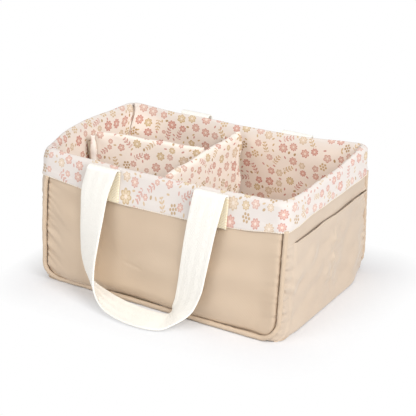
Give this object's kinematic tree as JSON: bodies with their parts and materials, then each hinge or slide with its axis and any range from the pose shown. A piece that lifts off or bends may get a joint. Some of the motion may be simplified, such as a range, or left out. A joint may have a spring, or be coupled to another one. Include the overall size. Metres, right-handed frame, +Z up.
{
  "type": "diaper caddy",
  "caption": "Soft padded fabric caddy with a printed lining turned over the rim, lift-out dividers, end pockets and hanging webbing handles.",
  "frame": {"origin": "on the floor, under the middle of the box", "axes": "+X along the box to its right end, +Y from the front to the back, +Z up"},
  "size_m": [0.3532, 0.3232, 0.165],
  "materials": {
    "shell": "satin woven polyester, warm beige",
    "print": "plain-weave cotton, off-white with a small floral print in pinks and ochre",
    "webbing": "cream cotton webbing with a herringbone weave",
    "foam": "open-cell padding foam",
    "board": "stiffening board, matt",
    "tape": "hook and loop tape, cream"
  },
  "bodies": {
    "shell": {"base_panel": "shell", "base_board": "board", "base_mat": "print", "front_panel": "shell", "back_panel": "shell", "left_end_panel": "shell", "right_end_panel": "shell", "front_piping": "shell", "back_piping": "shell", "left_pocket": "shell", "right_pocket": "shell", "front_foam": "foam", "right_foam": "foam", "back_foam": "foam", "left_foam": "foam", "front_lining": "print", "right_lining": "print", "back_lining": "print", "left_lining": "print", "front_handle_left_end": "webbing", "front_handle_left_fold": "webbing", "front_handle_right_end": "webbing", "front_handle_right_fold": "webbing", "back_handle_left_end": "webbing", "back_handle_left_fold": "webbing", "back_handle_right_end": "webbing", "back_handle_right_fold": "webbing", "front_loop_tape": "tape", "back_loop_tape": "tape", "left_loop_tape": "tape"},
    "front_handle": {"front_handle_strap": "webbing"},
    "back_handle": {"back_handle_strap": "webbing"},
    "cross_divider": {"cross_divider_core": "foam", "cross_divider_cover": "print", "cross_divider_front_flap": "print", "cross_divider_front_hook_tape": "tape", "cross_divider_back_flap": "print", "cross_divider_back_hook_tape": "tape", "cross_divider_loop_tape": "tape"},
    "long_divider": {"long_divider_core": "foam", "long_divider_cover": "print", "long_divider_left_flap": "print", "long_divider_left_hook_tape": "tape", "long_divider_right_flap": "print", "long_divider_right_hook_tape": "tape"}
  },
  "joints": [
    {"name": "front_handle_swing", "type": "hinge", "parent": "shell", "child": "front_handle", "pos_m": [0, -0.10715, 0.158], "axis": [-1, 0, 0], "range_deg": [0, 180], "deforming": ["front_handle_left_fold", "front_handle_right_fold"]},
    {"name": "back_handle_swing", "type": "hinge", "parent": "shell", "child": "back_handle", "pos_m": [0, 0.10715, 0.158], "axis": [1, 0, 0], "range_deg": [0, 180], "deforming": ["back_handle_left_fold", "back_handle_right_fold"]},
    {"name": "cross_divider_lift", "type": "slide", "parent": "shell", "child": "cross_divider", "axis": [0, 0, 1], "range_m": [0, 0.149]},
    {"name": "long_divider_lift", "type": "slide", "parent": "shell", "child": "long_divider", "axis": [0, 0, 1], "range_m": [0, 0.149]}
  ]
}
